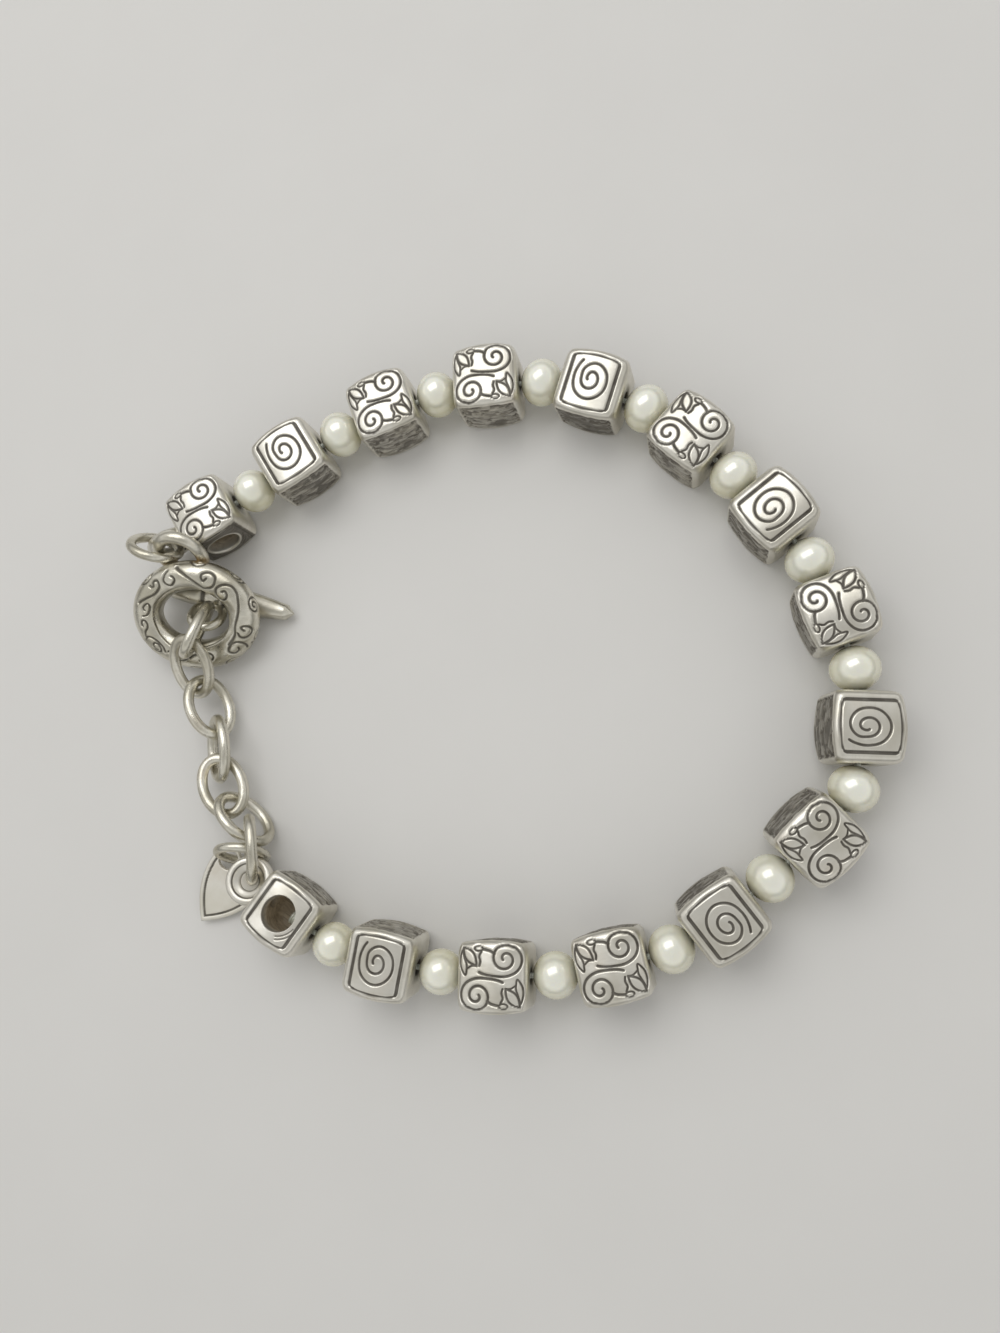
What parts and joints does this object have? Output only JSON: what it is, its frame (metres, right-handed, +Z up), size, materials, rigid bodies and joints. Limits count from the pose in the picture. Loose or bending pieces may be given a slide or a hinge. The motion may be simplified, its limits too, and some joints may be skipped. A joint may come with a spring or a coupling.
{
  "type": "beaded bracelet",
  "caption": "Beaded bracelet of square-barrel silver beads and pearls on one strand, closed by a toggle clasp with a short chain and a heart charm.",
  "frame": {"origin": "centre of the box the lying bracelet fits in, at the surface it lies on", "axes": "+Z up from the surface, +X from the clasp towards the far side of the loop, +Y completes the right hand"},
  "size_m": [0.0778, 0.0666, 0.0087],
  "materials": {
    "silver_beads": "antiqued silver, polished high spots over dark grooves",
    "silver_fittings": "antiqued silver, satin",
    "pearls": "pearl lustre",
    "beading_wire": "fine steel beading wire and crimps"
  },
  "bodies": {
    "root": {"end_bead_01": "silver_beads", "crimp_01": "beading_wire", "pearl_01": "pearls", "silver_bead_02": "silver_beads", "pearl_02": "pearls", "silver_bead_03": "silver_beads", "pearl_03": "pearls", "silver_bead_04": "silver_beads", "pearl_04": "pearls", "silver_bead_05": "silver_beads", "pearl_05": "pearls", "silver_bead_06": "silver_beads", "pearl_06": "pearls", "silver_bead_07": "silver_beads", "pearl_07": "pearls", "silver_bead_08": "silver_beads", "pearl_08": "pearls", "silver_bead_09": "silver_beads", "pearl_09": "pearls", "silver_bead_10": "silver_beads", "pearl_10": "pearls", "silver_bead_11": "silver_beads", "pearl_11": "pearls", "silver_bead_12": "silver_beads", "pearl_12": "pearls", "silver_bead_13": "silver_beads", "pearl_13": "pearls", "silver_bead_14": "silver_beads", "pearl_14": "pearls", "end_bead_15": "silver_beads", "crimp_15": "beading_wire", "beading_wire": "beading_wire", "toggle_ring": "silver_fittings", "toggle_bar": "silver_fittings", "chain_link_0": "silver_fittings", "chain_link_1": "silver_fittings", "chain_link_2": "silver_fittings", "chain_link_3": "silver_fittings", "chain_link_4": "silver_fittings", "chain_link_5": "silver_fittings", "chain_link_6": "silver_fittings", "ring_link": "silver_fittings", "charm_ring": "silver_fittings", "heart_charm": "silver_fittings"}
  },
  "joints": []
}
